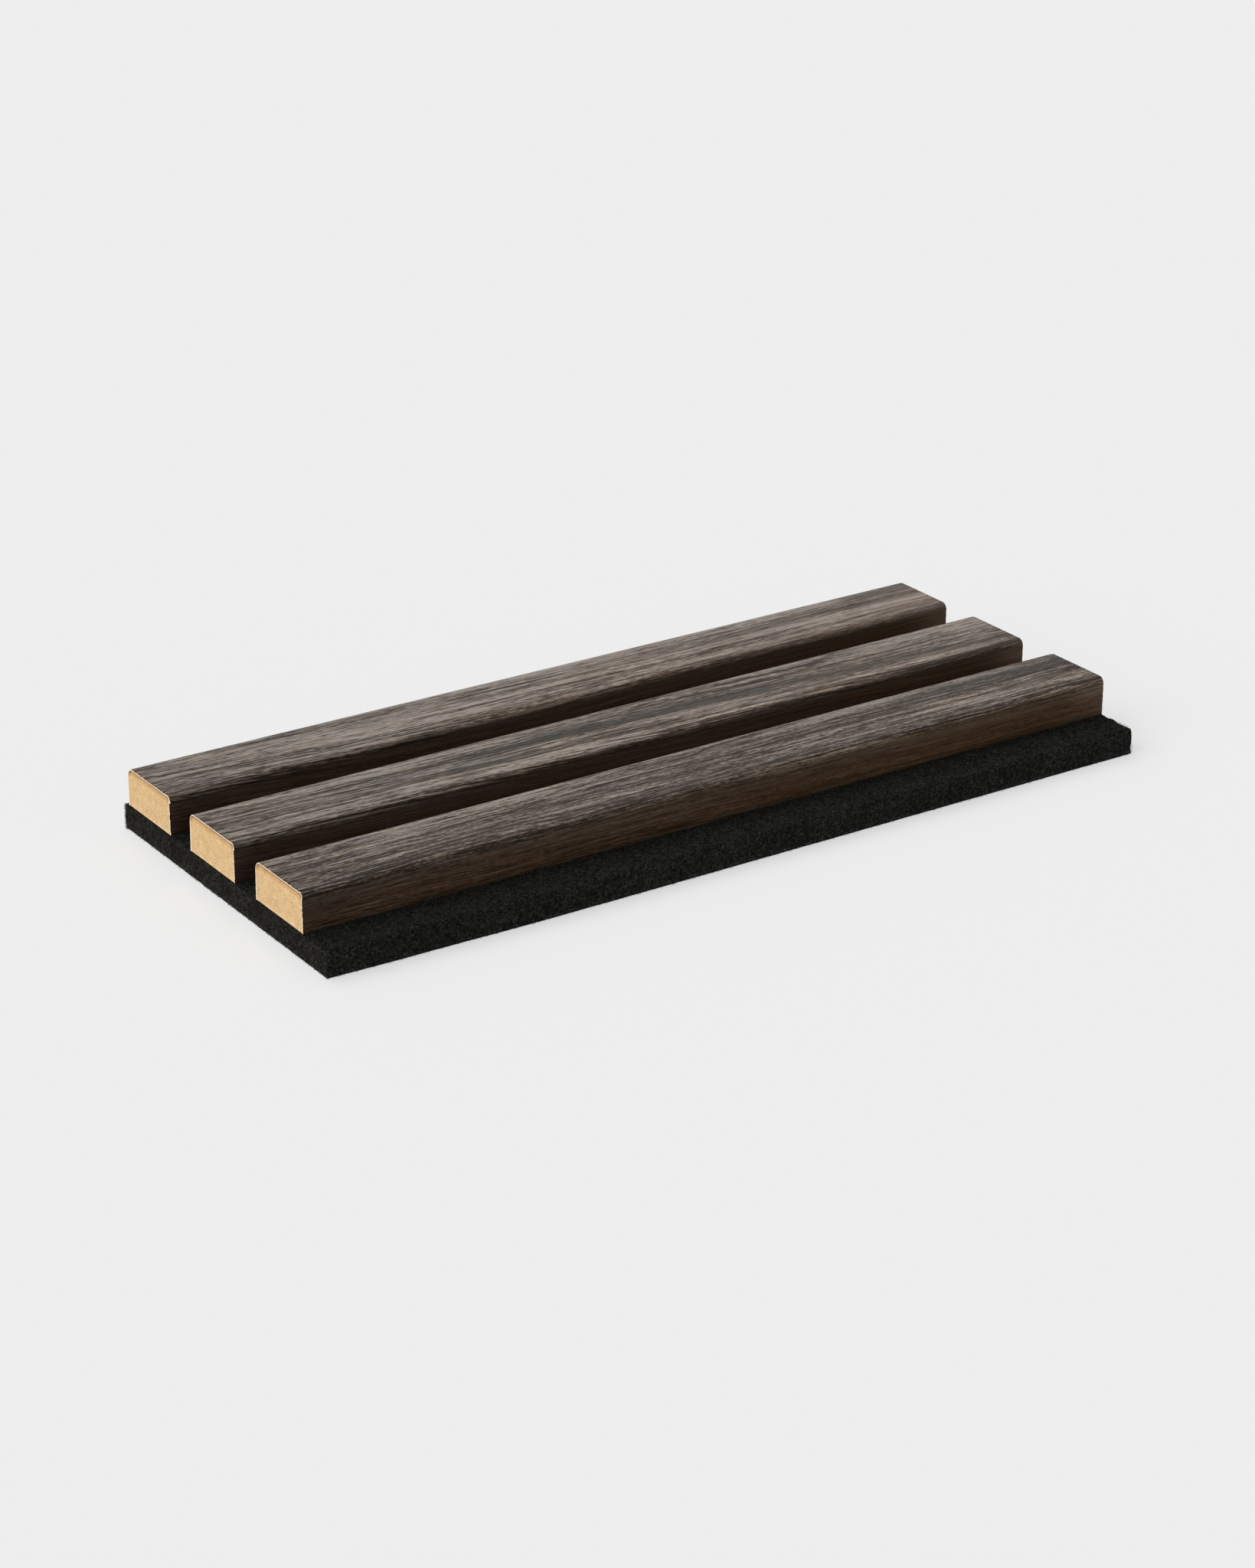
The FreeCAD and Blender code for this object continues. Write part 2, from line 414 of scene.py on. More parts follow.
# Layers of the grain: length and width of one streak, and strength
GRAIN_LAYERS = (
    (200, 4.0, 0.35),
    (150, 1.6, 0.8),
    (35, 1.4, 0.5),
    (70, 0.80, 1.25),
    (12, 0.70, 0.9),
    (22, 0.42, 1.75),
    (5, 0.34, 2.1),
    (1.7, 0.26, 2.0),
)
RELIEF_WIDTH = 1.0  # streaks narrower than this are pressed into the surface
# Single marks: length and width, seed, noise at which they start and are full, and strength
PALE_LINES = (70, 0.65, 25.1, 0.12, 0.20, 0.30)
DARK_LINES = (45, 0.60, 28.6, 0.12, 0.22, -0.24)
PORES = (8.0, 0.30, 32.4, 0.12, 0.24, -0.30)
SCRATCHES = (26, 0.34, 30.2, 0.13, 0.20, -0.16)


def band(n, x, across, first, last, start, end, half_width):
    """How much one band covers this point."""
    reach = n.times(n.step(x, first - BAND_FADE / 2, first + BAND_FADE / 2),
                    n.step(x, last + BAND_FADE / 2, last - BAND_FADE / 2))
    slope = (end - start) / (last - first)
    line = n.math("MULTIPLY_ADD", n.math("SUBTRACT", x, first), slope, start)
    return n.times(reach, n.bump_at(n.math("SUBTRACT", across, line), 0.0, half_width))


def layered_grain(n, x, across, seed, layers):
    """The sum of some layers of grain, each with its own seed and strength."""
    return n.sum(*[
        n.times(n.grain(x, across, length, width, seed + own_seed), strength)
        for length, width, own_seed, strength in layers
    ])


def foil_grain(n, x, wavy, slat, seed):
    """The grain's tone about 0, its relief and its pores."""
    tone = 0.0
    relief = 0.0
    for number, (length, width, strength) in enumerate(GRAIN_LAYERS):
        layer = n.grain(x, wavy, length * GRAIN_STRETCH[slat], width, seed + 2.7 * number + 3.1, 1.0)
        tone = n.math("MULTIPLY_ADD", layer, strength, tone)
        if width < RELIEF_WIDTH:
            relief = n.math("ADD", layer, relief)
    for marks in (PALE_LINES, DARK_LINES, PORES, SCRATCHES):
        length, width, own_seed, start, full, strength = marks
        cover = n.step(n.grain(x, wavy, length, width, seed + own_seed, 1.0), start, full)
        tone = n.math("MULTIPLY_ADD", cover, strength, tone)
        if marks is PORES:
            pores = cover
    return tone, relief, pores


def side_colour(n, colour, slat, x, off_middle, depth, side):
    """Colour down the sides: the print's deeper and warmer brown, with painted shade under the top edge,
    low in the gaps and towards the near end, where it is darkest.
    """
    # the print browns down the sides; painted shade darkens them a little under the top edge and near
    # the foot
    down = n.ramp(n.math("DIVIDE", depth, SLAT_HEIGHT), SIDE_TINTS)
    # painted shade low on the sides that face into the gaps
    down = n.tint(down, SIDE_FOOT_SHADE[slat], n.step(depth, 5.5, 9.0))
    rearward = n.step(off_middle, 9.0, 13.0)
    down = n.mix(rearward, down, n.mix(side, (1.0, 1.0, 1.0), REAR_SIDE_TINT))
    colour = n.tint(colour, down)
    forward = n.math("LESS_THAN", off_middle, 0.0)
    shoulder_tint, shoulder_depth, shoulder_width = SHOULDER[slat]
    shoulder = n.times(n.bump_at(depth, shoulder_depth, shoulder_width),
                       n.times(n.step(x, NEAR_X, 60), forward))
    colour = n.tint(colour, shoulder_tint, shoulder)
    front_side = n.times(side, n.math("SUBTRACT", 1.0, rearward))
    # painted shade towards the near end; warmer in the far half, paler and bluer at the far end
    for tint, start, full in (
        (SIDE_LATE_TINT, -20, 110),
        (SIDE_NEAR_SHADE, NEAR_X + 28, NEAR_X + 3),
        (SIDE_FAR_TINT, FAR_X - 20, FAR_X - 4),
    ):
        colour = n.tint(colour, tint, n.times(front_side, n.step(x, start, full)))
    return colour, front_side


def foil_material(slat, seed):
    """Printed wood grain, pressed in relief, running along the slat and over its edges."""
    n = Nodes(f"foil_{slat}")
    x, y, z = n.place()
    off_middle = n.math("SUBTRACT", y, slat_middles[slat])
    depth = n.math("SUBTRACT", SLAT_TOP, z)
    # distance across the unrolled foil: over the top, then on down the nearer side
    across = n.math("MULTIPLY_ADD", n.math("SIGN", off_middle), depth, off_middle)
    drift = layered_grain(n, x, across, seed, DRIFTS)
    lean, leaning_to = GRAIN_LEAN[slat]
    leaning = n.math("SMOOTH_MIN", n.math("SUBTRACT", x, NEAR_X), leaning_to, 30.0)
    wavy = n.math("MULTIPLY_ADD", leaning, -lean, n.math("ADD", across, drift))
    grain, relief, pores = foil_grain(n, x, wavy, slat, seed)
    strength = n.math("MULTIPLY_ADD", x, -GRAIN_FADE[slat], GRAIN_STRENGTH)
    tone = n.math("MULTIPLY_ADD", off_middle, SLAT_SLOPE[slat], SLAT_TONE[slat])
    rear_edge = n.step(off_middle, 7.0, 11.5)
    tone = n.sum(tone, n.times(grain, strength), n.times(rear_edge, REAR_EDGE_TONE))
    blueness = 0.0
    ragged = n.sum(across, n.times(drift, 0.3), relief)
    for *place, band_strength, blue in FIGURE[slat]:
        cover = band(n, x, ragged, *place)
        tone = n.math("MULTIPLY_ADD", cover, band_strength, tone)
        if blue:
            blueness = n.math("MULTIPLY_ADD", cover, blue, blueness)
    # down the sides the grain is fainter, about a tone of its own
    side = n.step(depth, 0.5, 3.0)
    contrast = n.math("MULTIPLY_ADD", side, -SIDE_FADE[slat], 1.0)
    about = n.math("MULTIPLY_ADD", side, SIDE_TONE - SLAT_TONE[slat], SLAT_TONE[slat])
    tone = n.math("MULTIPLY_ADD", n.math("SUBTRACT", tone, SLAT_TONE[slat]), contrast, about)

    colour = n.ramp(tone, FOIL_COLOURS)
    colour = n.mix(n.math("MULTIPLY", blueness, BLUE_SHARE, clamp=True), colour, BLUE_GREY)
    hue = n.math("ADD", layered_grain(n, x, wavy, seed, HUES), 0.5, clamp=True)
    colour = n.tint(colour, n.mix(hue, WARM_TINT, COOL_TINT))
    colour = n.tint(colour, SLAT_TINT[slat])
    colour, front_side = side_colour(n, colour, slat, x, off_middle, depth, side)
    # painted shade: the foil darkened nearly to black within 0.7 mm of either cut end
    end_shade = n.step(n.math("ABSOLUTE", x), FAR_X - 0.7, FAR_X - 0.1)
    colour = n.mix(n.times(end_shade, 0.8), colour, CUT_END_SHADE)

    height = n.math("MULTIPLY_ADD", pores, -0.4, relief)
    height = n.times(height, n.math("MULTIPLY_ADD", front_side, -0.5, 1.0))
    rough = n.sum(0.46, n.times(pores, 0.25), n.times(relief, -0.2))
    return n.finish(colour, rough, n.bump(height, 0.65, 0.0004), specular_ior_level=0.05)


def slat_outline(n, x, y, z):
    """Distance in from the foil's outside at a cut, distance below its top, and 1 on the rear half."""
    first = slat_middles["front"]
    half_pitch = (slat_middles["middle"] - first) / 2
    off_middle = n.math("WRAP", n.math("SUBTRACT", y, first), half_pitch, -half_pitch)
    depth = n.math("SUBTRACT", SLAT_TOP, z)
    front_corner = n.math("MULTIPLY_ADD", n.math("LESS_THAN", x, 0.0), SHARP_CORNER - CORNER, CORNER)
    rearward = n.math("GREATER_THAN", off_middle, 0.0)
    near, far = REAR_CORNER["front"]
    rear_corner = n.math("MULTIPLY_ADD", n.math("LESS_THAN", x, 0.0), near - far, far)
    wider = n.math("SUBTRACT", rear_corner, front_corner)
    corner = n.math("MULTIPLY_ADD", rearward, wider, front_corner)
    flat_half = n.math("SUBTRACT", HALF_SLAT, corner)
    beside = n.math("SUBTRACT", n.math("ABSOLUTE", off_middle), flat_half)
    above = n.math("SUBTRACT", corner, depth)
    past_side = n.math("MAXIMUM", beside, 0.0)
    past_top = n.math("MAXIMUM", above, 0.0)
    from_centre = n.math("SQRT", n.sum(n.times(past_side, past_side), n.times(past_top, past_top)))
    flat = n.math("MINIMUM", n.math("MAXIMUM", beside, above), 0.0)
    return n.math("SUBTRACT", n.math("SUBTRACT", corner, from_centre), flat), depth, rearward


PAPER_COLOURS = (
    (0.20, (0.72, 0.52, 0.35)),
    (0.50, (0.93, 0.76, 0.58)),
    (0.80, (0.98, 0.87, 0.72)),
)
DUST_COLOURS = (
    (0.20, (0.55, 0.36, 0.18)),
    (0.50, (0.68, 0.47, 0.25)),
    (0.80, (0.78, 0.58, 0.35)),
)
# Painted shadow of the foil's pale rim, on the cut foil just inside it at the top
RIM_SHADOW_COLOUR = (0.30, 0.19, 0.095)


def cut_edge_material():
    """Where the saw cut the foil: a pale paper rim, with painted shadow of the rim inside it on top and
    dust at the sides.
    """
    n = Nodes("foil_cut_edge")
    place = n.place()
    inset, depth, rearward = slat_outline(n, *place)
    fibres = n.noise(n.cells(place, 3.0, 1.6, 3.0), 3.0, 0.6)
    speckle = n.math("ADD", fibres, 0.5)
    paper = n.ramp(speckle, PAPER_COLOURS)
    dust = n.ramp(speckle, DUST_COLOURS)
    low_down = n.step(depth, 1.6, 2.4)
    front_rim, rear_rim = SIDE_RIM["front"], SIDE_RIM["rear"]
    side_rim = n.math("MULTIPLY_ADD", rearward, rear_rim - front_rim, front_rim)
    rim = n.math("MULTIPLY_ADD", low_down, n.math("SUBTRACT", side_rim, RIM), RIM)
    past_rim = n.math("MULTIPLY_ADD", fibres, 0.15, n.math("SUBTRACT", inset, rim))
    inner = n.step(past_rim, -0.03, 0.03)
    # painted shadow under the rim at the top, dust lower down
    under = n.mix(low_down, RIM_SHADOW_COLOUR, dust)
    colour = n.mix(inner, paper, under)
    return n.finish(colour, 0.85, n.bump(fibres, 0.4, 0.0002), specular_ior_level=0.15)


# Fibreboard

BOARD_COLOURS = (
    (0.15, (0.47, 0.30, 0.135)),
    (0.42, (0.635, 0.428, 0.216)),
    (0.60, (0.705, 0.487, 0.258)),
    (0.90, (0.800, 0.590, 0.360)),
)
# Tint of the board's top layers, by depth as a share of LAYERS_DEPTH: a dark line of painted shadow just
# under the foil's rim, dense skin, pale seam
LAYERS_DEPTH = 4.0
BOARD_LAYERS = (
    (0.115, (0.50, 0.45, 0.41)),
    (0.190, (0.56, 0.50, 0.44)),
    (0.250, (0.74, 0.68, 0.61)),
    (0.340, (0.89, 0.82, 0.75)),
    (0.445, (0.91, 0.83, 0.74)),
    (0.575, (0.98, 0.93, 0.86)),
    (0.665, (1.09, 1.07, 1.05)),
    (0.775, (1.0, 1.0, 1.0)),
)
# Painted light: the foot of the board's sawn face made paler and bluer, against the shade that the felt
# and its fibres cast there
BOARD_FOOT_LIGHT = (1.12, 1.15, 1.25)


def fibreboard_material():
    """Sawn fibreboard: fine speckled fibres, with a dense darker skin under the foil, painted shadow of
    the foil's rim at its top and painted light at its foot.
    """
    n = Nodes("fibreboard_sawn")
    place = n.place()
    inset, depth = slat_outline(n, *place)[:2]
    soft = n.noise(n.cells(place, 1.0, 0.35, 0.5), 2.0)
    fibres = n.noise(n.cells(place, 1.0, 1.5, 2.2), 4.0, 0.65, 0.4)
    dust = n.noise(n.cells(place, 1.0, 3.2, 3.2), 2.0, 0.6)
    specks = n.step(n.noise(n.cells(place, 1.0, 2.2, 2.2), 1.0), 0.15, 0.23)
    tone = n.sum(0.5, n.times(soft, 0.5), n.times(fibres, 1.2), n.times(dust, 1.3),
                 n.times(specks, -0.5))
    colour = n.ramp(tone, BOARD_COLOURS)
    # the layers bend round the front corner with the foil, and end level lower down
    waver = n.noise(n.vector(place["X"], n.times(place["Y"], 0.6), 7.0), 3.0)
    low_down = n.step(depth, 1.8, 3.2)
    below = n.math("MULTIPLY_ADD", waver, 0.35, inset)
    below = n.math("MULTIPLY_ADD", n.math("SUBTRACT", depth, below), low_down, below)
    colour = n.tint(colour, n.ramp(n.math("DIVIDE", below, LAYERS_DEPTH), BOARD_LAYERS))
    # painted light at the foot, against the shade of the felt
    colour = n.tint(colour, BOARD_FOOT_LIGHT, n.step(depth, 11.0, 12.3))
    height = n.math("MULTIPLY_ADD", dust, 0.6, fibres)
    return n.finish(colour, 0.92, n.bump(height, 0.5, 0.0003), specular_ior_level=0.1)


# Felt

FELT_COLOURS = (
    (0.05, (0.0048, 0.0049, 0.0046)),
    (0.45, (0.0110, 0.0112, 0.0106)),
    (0.75, (0.0280, 0.0279, 0.0260)),
    (1.00, (0.0580, 0.0565, 0.0515)),
)
# Painted shade: the felt's top skin is made darker, as it is lit more than its sides
FELT_TOP_SHADE = (0.66, 0.66, 0.66)
FELT_FOOT_LIGHT = (1.5, 1.5, 1.5)
# Painted light: a paler band along the felt's foot, for light thrown back from the floor
FELT_END_TINT = (0.88, 0.84, 0.77)
# Curled threads in the felt: size of the curls and seed
THREADS = ((1.4, 0.0), (1.0, 31.0), (1.9, 57.0))
FIBRE_COLOURS = (
    (0.30, (0.007, 0.007, 0.0065)),
    (0.55, (0.024, 0.024, 0.022)),
    (0.78, (0.100, 0.096, 0.087)),
)
# Painted shade: fibres on the felt's top are made darker, as the top is lit more
FIBRE_TOP_SHADE = (0.7, 0.7, 0.7)


def felt_material():
    """Needle-punched black fibre with paler and darker strands in it."""
    n = Nodes("felt_black")
    place = n.place()
    x, y, z = place
    clumps = n.noise(n.cells(place, 0.5, 0.5, 0.5), 2.0)
    skin = n.step(z, FELT_TOP - 0.5, FELT_TOP - 0.1)
    tufts = n.noise(n.cells(place, 1.5, 1.5, 1.5), 3.0, 0.7, 0.8)
    lint = n.noise(n.cells(place, 3.6, 3.6, 3.6), 1.0)
    tone = n.sum(0.40, n.times(clumps, 0.5), n.times(tufts, 2.6), n.times(lint, 1.6))
    for size, seed in THREADS:
        moved = n.math("MULTIPLY_ADD", x, 1 / size, seed)
        curl = n.noise(n.vector(moved, n.times(y, 1 / size), n.times(z, 1 / size)), 1.0)
        thread = n.step(n.math("ABSOLUTE", curl), 0.022, 0.008)
        tone = n.math("MULTIPLY_ADD", thread, 0.45, tone)
    # the top skin is lit more, so it is darker and its strands stand out more
    stronger = n.math("MULTIPLY_ADD", tone, 1.35, -0.15)
    tone = n.math("MULTIPLY_ADD", skin, n.math("SUBTRACT", stronger, tone), tone)
    colour = n.ramp(tone, FELT_COLOURS)
    colour = n.tint(colour, FELT_TOP_SHADE, skin)
    colour = n.tint(colour, FELT_END_TINT, n.step(x, NEAR_X + 0.6, NEAR_X + 0.2))
    # painted light: a paler band along the felt's foot, for light thrown back from the floor
    colour = n.tint(colour, FELT_FOOT_LIGHT, n.bump_at(z, 0.9, 0.6))
    height = n.math("MULTIPLY_ADD", lint, 0.5, tufts)
    return n.finish(colour, 0.95, n.bump(height, 0.8, 0.0006), specular_ior_level=0.01)


def fibre_material():
    """Single loose fibres, some a little paler than the felt."""
    n = Nodes("felt_fibre")
    place = n.place()
    vary = n.noise(n.cells(place, 0.8, 0.8, 0.8), 2.0)
    colour = n.ramp(n.math("ADD", vary, 0.5), FIBRE_COLOURS)
    # painted shade: fibres on the felt's top are darker, as the top is lit more
    colour = n.tint(colour, FIBRE_TOP_SHADE, n.step(place["Z"], FELT_TOP - 0.3, FELT_TOP - 0.1))
    return n.finish(colour, 0.9, specular_ior_level=0.02)


# Staples

STAPLE_COLOURS = ((0.25, (0.42, 0.42, 0.43)), (0.75, (0.66, 0.66, 0.65)))


def staple_material():
    """Zinc-plated flat wire, drawn along its length."""
    n = Nodes("staple_zinc")
    drawn = n.noise(n.cells(n.place(), 9.0, 0.7, 0.7), 3.0)
    colour = n.ramp(n.math("ADD", drawn, 0.5), STAPLE_COLOURS)
    rough = n.math("MULTIPLY_ADD", drawn, 0.25, 0.36)
    return n.finish(colour, rough, n.bump(drawn, 0.3, 0.0001), metallic=1.0)


# Meshes

def mesh_piece(name, points, faces, materials, face_material=None, sharp_angle=35.0):
    """A smooth-shaded object from points, quads or triangles, and materials by face."""
    mesh = bpy.data.meshes.new(name)
    mesh.from_pydata([], [], [])
    points = np.asarray(points, np.float32)
    faces = np.asarray(faces, np.int32)
    corners = faces.shape[1]
    mesh.vertices.add(len(points))
    mesh.vertices.foreach_set("co", points.ravel())
    mesh.loops.add(faces.size)
    mesh.loops.foreach_set("vertex_index", faces.ravel())
    mesh.polygons.add(len(faces))
    mesh.polygons.foreach_set("loop_start", np.arange(0, faces.size, corners, dtype=np.int32))
    for material in materials:
        mesh.materials.append(material)
    if face_material is not None:
        mesh.polygons.foreach_set("material_index", np.asarray(face_material, np.int32))
    mesh.update(calc_edges=True)
    mesh.validate()
    mesh.polygons.foreach_set("use_smooth", np.ones(len(mesh.polygons), bool))
    mesh.set_sharp_from_angle(angle=math.radians(sharp_angle))
    piece = bpy.data.objects.new(name, mesh)
    bpy.context.scene.collection.objects.link(piece)
    return piece


def field(points, size, seed):
    """Smooth noise from -1 to 1 at each point, with cells of this size."""
    shift = Vector((0, 0, seed))
    return np.array([noise.noise(Vector(point) / size + shift) for point in points])


def uneven(points, lumps):
    """Height of some layers of lumps at each point."""
    return sum(field(points, size, seed) * height for size, seed, height in lumps)


def stations(low, high, step, ends):
    """Places from low to high: at these distances from each end, and evenly between."""
    count = max(2, round((high - low - 2 * ends[-1]) / step) + 1)
    middle = np.linspace(low + ends[-1], high - ends[-1], count)
    near = low + np.array(ends[:-1])
    far = high - np.array(ends[:-1])[::-1]
    return np.concatenate([near, middle, far])


def block_surface(xs, ys, zs):
    """Points and outward quads of a block's surface on these grid lines."""
    nx, ny, nz = len(xs), len(ys), len(zs)
    i, j, k = np.meshgrid(np.arange(nx), np.arange(ny), np.arange(nz), indexing="ij")
    outer = (i == 0) | (i == nx - 1) | (j == 0) | (j == ny - 1) | (k == 0) | (k == nz - 1)
    number = np.full((nx, ny, nz), -1)
    number[outer] = np.arange(outer.sum())
    points = np.stack([xs[i[outer]], ys[j[outer]], zs[k[outer]]], 1)
    quads = []
    for sheet, outward in (
        (number[:, :, 0], False), (number[:, :, -1], True),
        (number[:, 0, :], True), (number[:, -1, :], False),
        (number[0, :, :], False), (number[-1, :, :], True),
    ):
        ring = [sheet[:-1, :-1], sheet[1:, :-1], sheet[1:, 1:], sheet[:-1, 1:]]
        if not outward:
            ring.reverse()
        quads.append(np.stack([r.ravel() for r in ring], 1))
    return points, np.concatenate(quads)


def staple_points():
    """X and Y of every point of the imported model's staples, and the same of the crowns' backs only."""
    points = np.array([v.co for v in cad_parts["back_staples"].data.vertices])
    low_down = points[:, 2] < points[:, 2].min() + 0.1 * MM
    return points[:, :2], points[low_down][:, :2]


def staple_centres():
    """Middle of each staple's crown."""
    crowns = []
    for point in staple_points()[1]:
        near = [crown for crown in crowns if np.hypot(*(crown[0] - point)) < SAME_STAPLE]
        if near:
            near[0].append(point)
        else:
            crowns.append([point])
    return [(np.min(crown, 0) + np.max(crown, 0)) / 2 for crown in crowns]


def staple_half_size(centre):
    """Half the size along X and Y of the staple at this centre."""
    points = staple_points()[0]
    one = points[np.hypot(*(points - centre).T) < SAME_STAPLE]
    return (one.max(0) - one.min(0)) / 2


def front_bow(x, y, z):
    """How far forward the felt's bare front strip goes at a point."""
    along = np.clip((x - felt_low.x - BOW_START) / BOW_RISE, 0, 1)
    forward = np.clip((felt_low.y + BOW_WIDTH - y) / BOW_WIDTH, 0, 1)
    far = np.clip((x - felt_high.x + FAR_FADE) / FAR_FADE, 0, 1)
    high_up = np.clip(z / felt_high.z, 0, 1)
    bulge = FRONT_BOW * along * along * (3 - 2 * along) * (1 - 1.1 * far * high_up)
    wear = NEAR_CORNER_WEAR * np.clip((felt_low.x + WEAR_LENGTH - x) / WEAR_LENGTH, 0, 1)
    return (bulge - wear) * forward


def felt_piece(material):
    """The felt slab: soft uneven surface, wavering cut edges, dimples about the staples."""
    ends = [0.0, 0.18 * MM, 0.4 * MM, 0.75 * MM]
    xs = stations(felt_low.x, felt_high.x, FELT_STEP, ends)
    ys = stations(felt_low.y, felt_high.y, FELT_STEP, ends)
    zs = stations(felt_low.z, felt_high.z, 0.7 * MM, ends)
    points, quads = block_surface(xs, ys, zs)
    low = np.array(felt_low) + FELT_EDGE_RADIUS
    high = np.array(felt_high) - FELT_EDGE_RADIUS
    inner = np.clip(points, low, high)
    outward = points - inner
    outward /= np.linalg.norm(outward, axis=1)[:, None]
    points = inner + outward * FELT_EDGE_RADIUS

    lumps = uneven(points, LUMPS)
    cut = np.stack([field(points, CUT_WAVE, seed) for seed in (21.0, 34.0)], 1) * CUT_WAVER
    torn = np.clip((points[:, 0] - felt_high.x + 7 * MM) / (6 * MM), 0, 1) ** 2
    lumps += torn * uneven(points, TORN_LUMPS)
    sideways = np.hypot(outward[:, 0], outward[:, 1])
    bottom = points[:, 2] < felt_low.z + 0.3 * MM
    under_slat = np.zeros(len(points), bool)
    for box_low, box_high in slat_boxes.values():
        under_slat |= (points[:, 1] > box_low.y) & (points[:, 1] < box_high.y)
    under_slat &= (outward[:, 2] > 0.9)
    lumps[bottom] *= 0.25
    lumps[under_slat] = 0.0
    moved = points + outward * lumps[:, None]
    moved[:, 0] += np.sign(outward[:, 0]) * cut[:, 0] * np.abs(outward[:, 0]) * sideways
    moved[:, 1] += np.sign(outward[:, 1]) * cut[:, 1] * np.abs(outward[:, 1]) * sideways
    moved[:, 1] -= front_bow(*points.T)
    for centre in staple_centres():
        off = np.maximum(np.abs(points[:, :2] - centre) - staple_half_size(centre), 0.0)
        reach = np.clip(1.0 - np.hypot(off[:, 0], off[:, 1]) / DIMPLE_REACH, 0.0, 1.0)
        sink = reach * reach * (3 - 2 * reach) * DIMPLE_DEPTH
        moved[:, 2] += np.where(bottom, sink, 0.0)
    moved[:, 2] = np.maximum(moved[:, 2], felt_low.z)
    return mesh_piece("felt_sheet", moved, quads, [material], sharp_angle=80)


def fibre_paths(roots, normals, rng, length, lift, standing):
    """Points along loose fibres: curls that lie on the felt, and a share that stands free at one end."""
    count = len(roots)
    aside = np.cross(normals, rng.normal(size=(count, 3)))
    aside /= np.linalg.norm(aside, axis=1)[:, None]
    second = np.cross(normals, aside)
    lengths = rng.uniform(*length, count)[:, None]
    curl = rng.normal(0, 0.5, count)[:, None]
    rise = np.abs(rng.normal(0, lift, count))[:, None]
    free = (rng.random(count) < standing)[:, None]
    paths = []
    for t in np.linspace(0, 1, FIBRE_RINGS):
        arch = np.where(free, t ** 1.5, math.sin(math.pi * t))
        run = aside * (t - 0.5) + second * curl * (t * t - t)
        paths.append(roots + run * lengths + normals * (rise * arch - FIBRE_RADIUS))
    return np.stack(paths, 1)


def kept_within(paths, low, high):
    """The fibres bent to stay within a box, without those that this would crush."""
    bent = np.clip(paths, low, high)
    before = np.linalg.norm(paths[:, -1] - paths[:, 0], axis=1)
    after = np.linalg.norm(bent[:, -1] - bent[:, 0], axis=1)
    steps = np.linalg.norm(np.diff(bent, axis=1), axis=2).min(axis=1)
    return bent[(after > 0.4 * before) & (steps > FIBRE_RADIUS)]


def fibre_tubes(name, paths, rng, material):
    """One mesh of thin closed tubes with three sides along these paths."""
    count = len(paths)
    mean = paths[:, -1] - paths[:, 0]
    across = np.cross(mean, rng.normal(size=(count, 3)))
    along = np.gradient(paths, axis=1)
    along /= np.linalg.norm(along, axis=2)[:, :, None]
    right = np.cross(along, across[:, None, :])
    right /= np.linalg.norm(right, axis=2)[:, :, None]
    up = np.cross(right, along)
    thick = FIBRE_RADIUS * rng.uniform(0.7, 1.3, count)[:, None, None]
    thick = thick * np.array([0.5] + [1.0] * (FIBRE_RINGS - 2) + [0.4])[None, :, None]
    points = []
    for corner in range(3):
        angle = 2 * math.pi * corner / 3
        points.append(paths + (right * math.cos(angle) + up * math.sin(angle)) * thick)
    points = np.stack(points, 2).reshape(-1, 3)
    points[:, 2] = np.maximum(points[:, 2], felt_low.z)
    faces = []
    for ring in range(FIBRE_RINGS - 1):
        for corner in range(3):
            a = ring * 3 + corner
            b = ring * 3 + (corner + 1) % 3
            faces += [(a, b + 3, b), (a, a + 3, b + 3)]
    last = (FIBRE_RINGS - 1) * 3
    faces += [(0, 1, 2), (last, last + 2, last + 1)]
    first = np.arange(count)[:, None, None] * FIBRE_RINGS * 3
    faces = (first + np.array(faces)[None]).reshape(-1, 3)
    return mesh_piece(name, points, faces, [material], sharp_angle=180)


def top_fibres(material):
    """Fibres on the bare felt before, between and behind the slats."""
    rng = np.random.default_rng(11)
    edges = [felt_low.y]
    for name in SLATS:
        edges += [slat_boxes[name][0].y, slat_boxes[name][1].y]
    edges.append(felt_high.y)
    starts, stops = np.array(edges[0::2]), np.array(edges[1::2])
    strip = rng.choice(len(starts), TOP_FIBRES, p=(stops - starts) / (stops - starts).sum())
    roots = np.stack([
        rng.uniform(felt_low.x, felt_high.x, TOP_FIBRES),
        rng.uniform(starts[strip], stops[strip]),
        np.full(TOP_FIBRES, felt_high.z),
    ], 1)
    up = np.tile([0.0, 0.0, 1.0], (TOP_FIBRES, 1))
    paths = fibre_paths(roots, up, rng, length=(1.0 * MM, 3.4 * MM), lift=0.09 * MM, standing=0.04)
    lows, highs = np.full(paths.shape, -1.0), np.full(paths.shape, 1.0)
    lows[:, :, 0], highs[:, :, 0] = felt_low.x, felt_high.x
    lows[:, :, 1], highs[:, :, 1] = starts[strip][:, None], stops[strip][:, None]
    return fibre_tubes("felt_fibres_top", kept_within(paths, lows, highs), rng, material)


